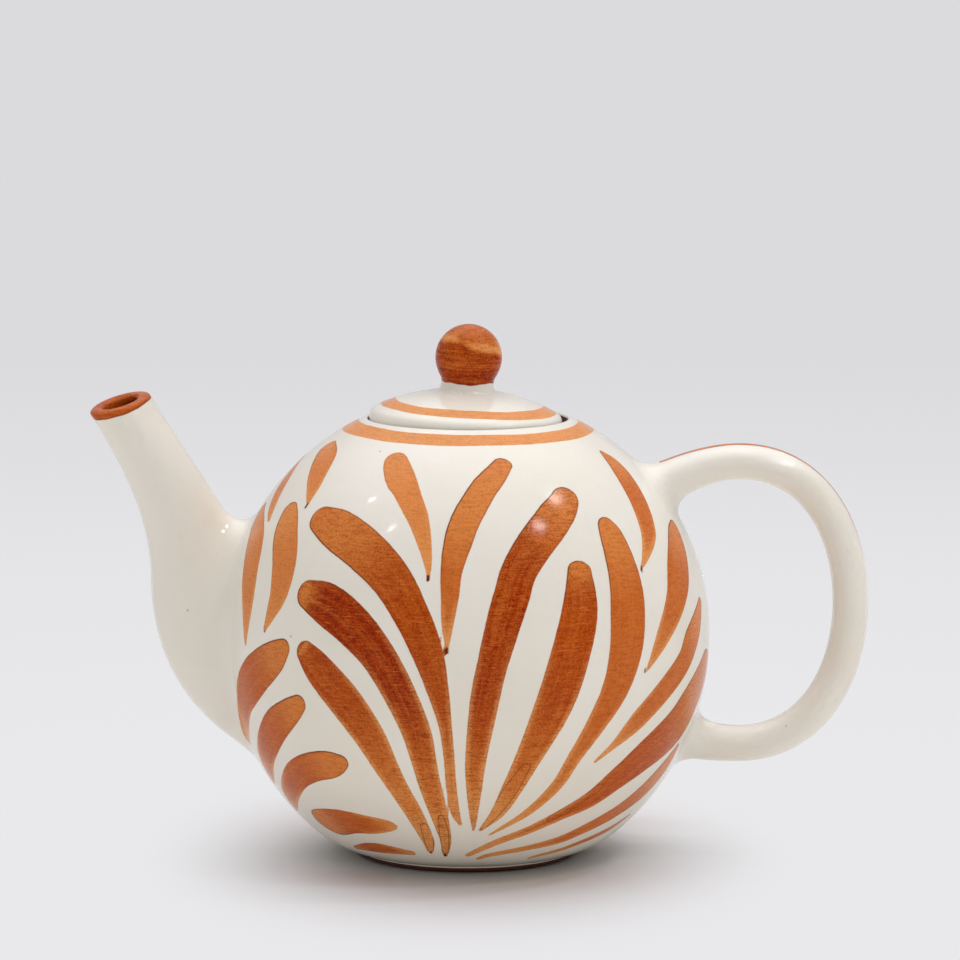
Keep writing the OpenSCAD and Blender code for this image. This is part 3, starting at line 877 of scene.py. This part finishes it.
# lid: a stripe near its edge
p = toMouth(points(lidPiece), lidForm["shift"])
paint = freshPaint(len(p))
angle = np.arctan2(p[:, 1], p[:, 0])
across = np.hypot(p[:, 0] - bands["lidShift"], p[:, 1]) - bands["lidMiddle"] + wander(angle, 4)
edge = np.abs(across) - bands["lidHalf"] + 0.5 * wander(angle, 6)
edge = np.where(p[:, 2] > lidTop - 0.5, edge, farAway)
addBand(paint, edge, across, angle * bands["lidMiddle"], *bands["lidTone"])
keepPaint(lidPiece, paint)

# knob: painted from its top down to the waist, with a painted highlight: lighter paint in a slanted streak
# below the top
p = toMouth(points(knobPiece), lidForm["shift"])
paint = freshPaint(len(p))
angle = np.arctan2(p[:, 1], p[:, 0])
edge = lidTop + knobForm["waist"] - p[:, 2] + 1.2 * wander(angle, 8)
above = p[:, 2] - lidTop - knobForm["middle"]
# painted highlight: the paint is made lighter in a slanted band below the top, standing for the reflection of
# the light above
paintedHighlight = above + bands["knobSlant"] * p[:, 0] + 3 * wander(angle, 9) - bands["knobHighlightFrom"]
paintedHighlight = np.clip(paintedHighlight / bands["knobSoft"], 0, 1)
paintedHighlight *= paintedHighlight * (3 - 2 * paintedHighlight)
# the painted highlight fades again towards the very top
crown = above + bands["knobTopSlant"] * p[:, 0] + 4 * wander(angle, 10) - bands["knobTop"]
paintedHighlight *= 1 - bands["knobTopShare"] * np.clip(crown / bands["knobTopSoft"], 0, 1)
dark = bands["knobTone"][0] - bands["knobHighlightTone"][0] * paintedHighlight
run = bands["knobTone"][1] + bands["knobHighlightTone"][1] * paintedHighlight
addBand(paint, edge, above, angle * bands["knobRound"], dark, run)
keepPaint(knobPiece, paint)
print("paint laid on")


def colour(r, g, b):
    # 8-bit colour to linear light
    c = np.array([r, g, b]) / 255
    c = np.where(c > 0.04045, ((c + 0.055) / 1.055) ** 2.4, c / 12.92)
    return (*c.tolist(), 1)


class Graph:
    # shorthand for the nodes of a material or a world: each call adds one and gives its output
    def __init__(self, owner):
        owner.use_nodes = True
        self.tree = owner.node_tree
        self.shader = self.tree.nodes.get("Principled BSDF") or self.tree.nodes["Background"]

    def link(self, source, socket):
        if isinstance(source, bpy.types.NodeSocket):
            self.tree.links.new(source, socket)
        else:
            socket.default_value = source

    def add(self, kind, out=0, **values):
        n = self.tree.nodes.new(kind)
        for key, value in values.items():
            if key.startswith("in_"):
                self.link(value, n.inputs[int(key[3:])])
            else:
                setattr(n, key, value)
        return n.outputs[out]

    def attribute(self, name):
        return self.add("ShaderNodeAttribute", 2, attribute_name=name)

    def math(self, operation, a, b=0.0):
        return self.add("ShaderNodeMath", operation=operation, in_0=a, in_1=b)

    def times(self, a, b):
        return self.math("MULTIPLY", a, b)

    def plus(self, a, b):
        return self.math("ADD", a, b)

    def span(self, value, low, high, toLow=0.0, toHigh=1.0):
        # an eased change from toLow at low to toHigh at high
        return self.add("ShaderNodeMapRange", interpolation_type="SMOOTHSTEP", in_0=value, in_1=low,
                        in_2=high, in_3=toLow, in_4=toHigh)

    def mix(self, factor, a, b, way="MIX"):
        n = self.tree.nodes.new("ShaderNodeMix")
        n.data_type = "RGBA"
        n.blend_type = way
        self.link(factor, n.inputs[0])
        self.link(a, n.inputs[6])
        self.link(b, n.inputs[7])
        return n.outputs[2]

    def noise(self, where, scale, detail=3.0, rough=0.55):
        return self.add("ShaderNodeTexNoise", in_0=where, in_2=scale, in_3=detail, in_4=rough)

    def ramp(self, value, stops):
        n = self.tree.nodes.new("ShaderNodeValToRGB")
        while len(n.color_ramp.elements) < len(stops):
            n.color_ramp.elements.new(1)
        for e, (at, c) in zip(n.color_ramp.elements, stops):
            e.position = at
            e.color = c
        self.link(value, n.inputs[0])
        return n.outputs[0]


finish = {
    "glaze": (232, 227, 216), "glazeShade": (229, 223, 209), "speck": (120, 92, 66),
    "head": (214, 126, 58), "bodyOfStroke": (204, 100, 20), "deep": (158, 48, 0), "tail": (228, 158, 94),
    "pale": (228, 150, 84), "bead": (104, 36, 10), "line": (96, 38, 8),
    # the clay colours are darkened as painted shade for the gap under the lid's edge and the dark line under
    # the foot
    "clay": (92, 46, 28), "clayShade": (74, 36, 22),
    "edgeWaver": 0.14, "edgeSoft": 0.16, "streakAcross": 0.8, "streakAlong": 0.035, "streakApart": 9.0,
    "edgeScale": 420, "poolScale": 55, "grainScale": 1700, "ringScale": 1900, "ringStretch": 0.14,
    "cloudScale": 26, "speckScale": 150, "glossScale": 300, "waveScale": 38, "clayScale": 900,
    "glossLeast": 0.07, "glossMost": 0.13, "paintDuller": 0.03, "waveStrength": 0.35, "waveHeight": 0.0016,
    "glazeMirror": 0.5, "paintMirror": 0.1, "refraction": 1.5, "clayRough": 0.85,
    "clayBump": 0.4, "clayHeight": 0.0004,
}


def paintedGlaze(name):
    # cream glaze over brushed slip: the paint's edge, streaks and tone come from the stroke's own measures
    mat = bpy.data.materials.new(name)
    g = Graph(mat)
    f = finish
    c = {k: colour(*v) for k, v in finish.items() if isinstance(v, tuple)}
    place = g.add("ShaderNodeTexCoord", 3)
    edge = g.attribute("paintEdge")
    along = g.attribute("paintAlong")
    across = g.attribute("paintAcross")
    run = g.attribute("paintRun")
    dark = g.attribute("paintDark")

    # hand-drawn edge
    waver = g.times(g.math("SUBTRACT", g.noise(place, f["edgeScale"]), 0.5), f["edgeWaver"] * 2)
    edge = g.plus(edge, waver)
    painted = g.span(edge, f["edgeSoft"], -f["edgeSoft"])

    # streaks run with the brush, grain lies in the slip
    streakAt = g.add("ShaderNodeCombineXYZ", in_0=g.times(across, f["streakAcross"]),
                     in_1=g.times(along, f["streakAlong"]), in_2=g.times(dark, f["streakApart"]))
    streak = g.noise(streakAt, 1.0, 4.0, 0.6)
    pool = g.noise(place, f["poolScale"], 3.0)
    grain = g.noise(place, f["grainScale"], 2.0, 0.7)
    stretch = (f["ringStretch"], f["ringStretch"], 1)
    rings = g.add("ShaderNodeVectorMath", operation="MULTIPLY", in_0=place, in_1=stretch)
    turning = g.noise(rings, f["ringScale"], 2.0, 0.6)

    # tone along the stroke: lighter head, deep middle, thin tail
    lead = g.plus(run, g.times(g.math("SUBTRACT", pool, 0.5), 0.25))
    tone = g.ramp(lead, [(0.0, c["head"]), (0.14, c["head"]), (0.36, c["bodyOfStroke"]),
                         (0.66, c["bodyOfStroke"]), (0.86, c["head"]), (1.0, c["tail"])])
    middle = g.span(g.math("ABSOLUTE", g.math("SUBTRACT", run, 0.48)), 0.42, 0.16)
    least = g.span(dark, 1.0, 1.15, 0.75, 0.25)
    depth = g.times(g.times(middle, dark), g.span(streak, 0.35, 0.72, least, 1.1))
    tone = g.mix(depth, tone, c["deep"])
    thin = g.span(streak, 0.55, 0.28, 0.0, 0.18)
    tone = g.mix(thin, tone, c["head"])
    # the slip thins out along the edges of the stroke's second half
    fringe = g.times(g.span(edge, -2.1, -0.2, 0.0, 0.8), g.span(run, 0.42, 0.78))
    tone = g.mix(fringe, tone, c["tail"])
    tone = g.mix(g.span(dark, 0.45, 0.05, 0.0, 0.7), tone, c["pale"])
    # speckle: dark grains of iron and pale pinholes, and fine turning lines that the brush passed over
    strong = g.span(dark, 0.1, 0.9, 0.4, 1.0)
    full = (1, 1, 1, 1)
    iron = g.ramp(grain, [(0.32, (0.55, 0.42, 0.28, 1)), (0.52, full)])
    tone = g.mix(strong, tone, iron, "MULTIPLY")
    lines = g.ramp(turning, [(0.36, (0.74, 0.60, 0.42, 1)), (0.52, full)])
    tone = g.mix(strong, tone, lines, "MULTIPLY")
    tone = g.mix(g.span(g.math("MAXIMUM", grain, turning), 0.56, 0.74, 0.0, 0.4), tone, c["head"])
    # a fine dark line where the slip has gathered at one side, and a fainter one at the other
    gather = g.times(g.span(edge, -0.62, -0.2), g.span(across, -1.5, 1.5, 0.95, 0.45))
    gather = g.times(gather, g.span(run, 0.12, 0.5, 1.0, 0.12))
    gather = g.times(gather, g.span(dark, 0.02, 0.15))
    touch = g.span(g.math("ABSOLUTE", g.attribute("touchEdge")), 0.26, 0.06, 0.0, 0.6)
    tone = g.mix(g.math("MAXIMUM", gather, touch), tone, c["line"])
    tone = g.mix(g.span(dark, 1.2, 1.6), tone, c["bead"])

    # glaze: slow change of tone, and a few iron specks
    ground = g.mix(g.span(g.noise(place, f["cloudScale"], 2.0), 0.35, 0.7), c["glaze"], c["glazeShade"])
    cell = g.add("ShaderNodeTexVoronoi", in_0=place, in_2=f["speckScale"])
    chosen = g.add("ShaderNodeTexVoronoi", 1, in_0=place, in_2=f["speckScale"])
    rare = g.add("ShaderNodeSeparateColor", in_0=chosen)
    speck = g.times(g.span(cell, 0.07, 0.03), g.span(rare, 0.93, 0.96, 0.0, 0.6))
    ground = g.mix(speck, ground, c["speck"])
    g.link(g.mix(painted, ground, tone), g.shader.inputs["Base Color"])

    # the glaze lies in slow waves; over the slip it is a little duller
    gloss = g.span(g.noise(place, f["glossScale"], 2.0), 0.3, 0.8, f["glossLeast"], f["glossMost"])
    dull = g.plus(gloss, g.times(painted, f["paintDuller"]))
    g.link(dull, g.shader.inputs["Roughness"])
    wave = g.plus(g.noise(place, f["waveScale"], 1.0), g.times(g.times(grain, painted), 0.035))
    bump = g.add("ShaderNodeBump", in_0=f["waveStrength"], in_1=f["waveHeight"], in_3=wave)
    g.link(bump, g.shader.inputs["Normal"])
    # the slip under the glaze takes part of its mirror
    mirror = g.span(painted, 0.0, 1.0, f["glazeMirror"], f["paintMirror"])
    g.link(mirror, g.shader.inputs["Specular IOR Level"])
    g.shader.inputs["IOR"].default_value = f["refraction"]
    return mat


def clayWithPaintedShade(name):
    # clay of the foot and of the seat under the lid, its colour darkened as painted shade for the gap under
    # the lid's edge and the line under the foot: fine grain
    mat = bpy.data.materials.new(name)
    g = Graph(mat)
    place = g.add("ShaderNodeTexCoord", 3)
    grain = g.noise(place, finish["clayScale"], 4.0, 0.7)
    tone = g.mix(grain, colour(*finish["clay"]), colour(*finish["clayShade"]))
    g.link(tone, g.shader.inputs["Base Color"])
    bump = g.add("ShaderNodeBump", in_0=finish["clayBump"], in_1=finish["clayHeight"], in_3=grain)
    g.link(bump, g.shader.inputs["Normal"])
    g.shader.inputs["Roughness"].default_value = finish["clayRough"]
    return mat


# faces in dark clay: the foot's underside, where the glaze was left off, and the seat under the lid; their
# dark tone is painted shade
darkClayFaces = {"footHeight": 0.9, "footMargin": 0.1, "seatHeight": 2.2, "seatMargin": 0.02}

glazed = paintedGlaze("creamGlazeWithBrushedSlip")
clay = clayWithPaintedShade("darkClayWithPaintedShade")
for piece in (potBody, spoutPiece, handlePiece, lidPiece, knobPiece):
    piece.data.materials.clear()
    piece.data.materials.append(glazed)
    smooth(piece)
potBody.data.materials.append(clay)
middles = np.zeros(len(potBody.data.polygons) * 3, np.float32)
potBody.data.polygons.foreach_get("center", middles)
middles = middles.reshape(-1, 3) / mm
within = np.hypot(middles[:, 0], middles[:, 1]) < bodyForm["footRadius"] + darkClayFaces["footMargin"]
inDarkClay = (middles[:, 2] < darkClayFaces["footHeight"]) & within
m = toMouth(middles)
low = m[:, 2] - mouthForm["seatHeight"]
within = np.hypot(m[:, 0], m[:, 1]) < rimRadius + darkClayFaces["seatMargin"]
inDarkClay |= (low > -mouthForm["seatThickness"]) & (low < darkClayFaces["seatHeight"]) & within
potBody.data.polygons.foreach_set("material_index", inDarkClay.astype(np.int32))

for piece, node, body, slot in (
    (potBody, "pot_body", "pot", "glaze"), (spoutPiece, "spout", "pot", "glaze"),
    (handlePiece, "handle", "pot", "glaze"), (lidPiece, "lid", "lid", "glaze"),
    (knobPiece, "knob", "lid", "painted_knob"),
):
    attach(piece, body)
    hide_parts(node)
print("pieces glazed")

stage = {
    "shaded": (218, 217, 217), "bounce": (242, 240, 236), "near": (233, 233, 235), "far": (219, 218, 221),
    "toneFrom": 0.1, "toneTo": 1.5, "rings": (0.05, 0.2, 0.5, 1, 2, 4, 9), "sides": 96, "sink": 0.0004,
    "shadowFrom": 0.06, "shadowTo": 0.17, "shadowSqueeze": 1.6,
    "zenith": 3.5, "narrow": 4.0, "backTilt": 15, "fromSides": 0.6, "horizon": 0.1, "mirrored": 0.8,
    "aim": (0, 0, 0.08),
}
# the front fill lights the pot only, so that the floor keeps the pot's shadow; the windows are its highlights
lamps = {
    "frontFill": {"place": (0, -1.85, 0.24), "size": (2, 0.44), "power": 6.1},
    "leftWindowBack": {"place": (-0.9, 0.025, 1.4), "size": (0.025, 0.07), "power": 0.16},
    "leftWindowFront": {"place": (-0.83, -0.52, 1.34), "size": (0.025, 0.07), "power": 0.16},
    "rightWindowBack": {"place": (0.863, -0.01, 1.424), "size": (0.08, 0.06), "power": 2.0},
    "rightWindowFront": {"place": (0.772, -0.55, 1.376), "size": (0.08, 0.06), "power": 2.0},
}


def makeFloor(s):
    # a wide disc of rings; close to the pot it shows the shadow, and further off a plain tone that goes over
    # from near to far; the shadow fades sooner at the sides, by the squeeze along X
    mat = bpy.data.materials.new("paleFloor")
    g = Graph(mat)
    place = g.add("ShaderNodeTexCoord", 3)
    far = g.add("ShaderNodeVectorMath", 1, operation="LENGTH", in_0=place)
    squeeze = (s["shadowSqueeze"], 1, 1)
    squeezed = g.add("ShaderNodeVectorMath", operation="MULTIPLY", in_0=place, in_1=squeeze)
    reach = g.add("ShaderNodeVectorMath", 1, operation="LENGTH", in_0=squeezed)
    stops = [(0.0, colour(*s["near"])), (1.0, colour(*s["far"]))]
    tone = g.ramp(g.span(far, s["toneFrom"], s["toneTo"]), stops)
    ray = g.tree.nodes.new("ShaderNodeLightPath")
    seen = g.math("MAXIMUM", ray.outputs["Is Camera Ray"], ray.outputs["Is Glossy Ray"])
    lit = g.add("ShaderNodeBsdfDiffuse", in_0=g.mix(seen, colour(*s["bounce"]), colour(*s["shaded"])))
    plain = g.add("ShaderNodeEmission", in_0=tone, in_1=1.0)
    blend = g.times(seen, g.span(reach, s["shadowFrom"], s["shadowTo"]))
    both = g.add("ShaderNodeMixShader", in_0=blend, in_1=lit, in_2=plain)
    g.tree.links.new(both, g.tree.nodes["Material Output"].inputs["Surface"])
    m = s["sides"]
    angle = np.linspace(0, 2 * math.pi, m, endpoint=False)
    radius = np.array(s["rings"])
    rings = np.stack([np.outer(radius, np.cos(angle)), np.outer(radius, np.sin(angle)),
                      np.full((len(radius), m), -s["sink"])], -1)
    row = np.arange(len(radius) - 1)[:, None] * m
    col = np.arange(m)[None]
    nxt = (col + 1) % m
    quads = np.stack([row + col, row + m + col, row + m + nxt, row + nxt], -1).reshape(-1, 4).tolist()
    me = bpy.data.meshes.new("floor")
    me.from_pydata(rings.reshape(-1, 3).tolist(), [], quads + [list(range(m))])
    me.materials.append(mat)
    ob = bpy.data.objects.new("floor", me)
    bpy.context.collection.objects.link(ob)


def makeLamp(name, place, size, power):
    # an area lamp at place, turned to face the pot
    data = bpy.data.lights.new(name, "AREA")
    data.shape = "RECTANGLE"
    data.size, data.size_y = size
    data.energy = power
    ob = bpy.data.objects.new(name, data)
    ob.location = place
    ob.rotation_euler = (Vector(stage["aim"]) - Vector(place)).to_track_quat("-Z", "Y").to_euler()
    bpy.context.collection.objects.link(ob)
    return ob


def lightOnly(lamp, things):
    # the lamp lights these things and no others, and no mirror shows it
    lamp.visible_glossy = False
    lamp.light_linking.receiver_collection = bpy.data.collections.new(lamp.name)
    for thing in things:
        lamp.light_linking.receiver_collection.objects.link(thing)


makeFloor(stage)
standing = {name: makeLamp(name, **lamp) for name, lamp in lamps.items()}
lightOnly(standing["frontFill"], [potBody, spoutPiece, handlePiece, lidPiece, knobPiece])

# the room: light grows towards a point behind the zenith and towards both sides; a mirror sees it evened out,
# and the camera sees one plain tone
world = bpy.data.worlds.new("studio")
bpy.context.scene.world = world
g = Graph(world)
way = g.add("ShaderNodeTexCoord")
split = g.tree.nodes.new("ShaderNodeSeparateXYZ")
g.link(way, split.inputs[0])
backTilt = math.radians(stage["backTilt"])
brightest = (0, math.sin(backTilt), math.cos(backTilt))
up = g.add("ShaderNodeVectorMath", 1, operation="DOT_PRODUCT", in_0=way, in_1=brightest)
up = g.math("POWER", g.math("MAXIMUM", up, 0.0), stage["narrow"])
side = g.math("POWER", g.math("ABSOLUTE", split.outputs[0]), 2.0)
light = g.plus(g.times(up, stage["zenith"]), g.times(side, stage["fromSides"]))
light = g.plus(light, stage["horizon"])
ray = g.tree.nodes.new("ShaderNodeLightPath")
light = g.math("MAXIMUM", light, g.times(ray.outputs["Is Glossy Ray"], stage["mirrored"]))
strength = g.tree.nodes.new("ShaderNodeMix")
g.link(ray.outputs["Is Camera Ray"], strength.inputs[0])
g.link(light, strength.inputs[2])
strength.inputs[3].default_value = 1.0
g.shader.inputs["Color"].default_value = colour(*stage["far"])
g.link(strength.outputs[0], g.shader.inputs["Strength"])
bpy.context.scene.view_settings.view_transform = "Standard"
print("studio lit")
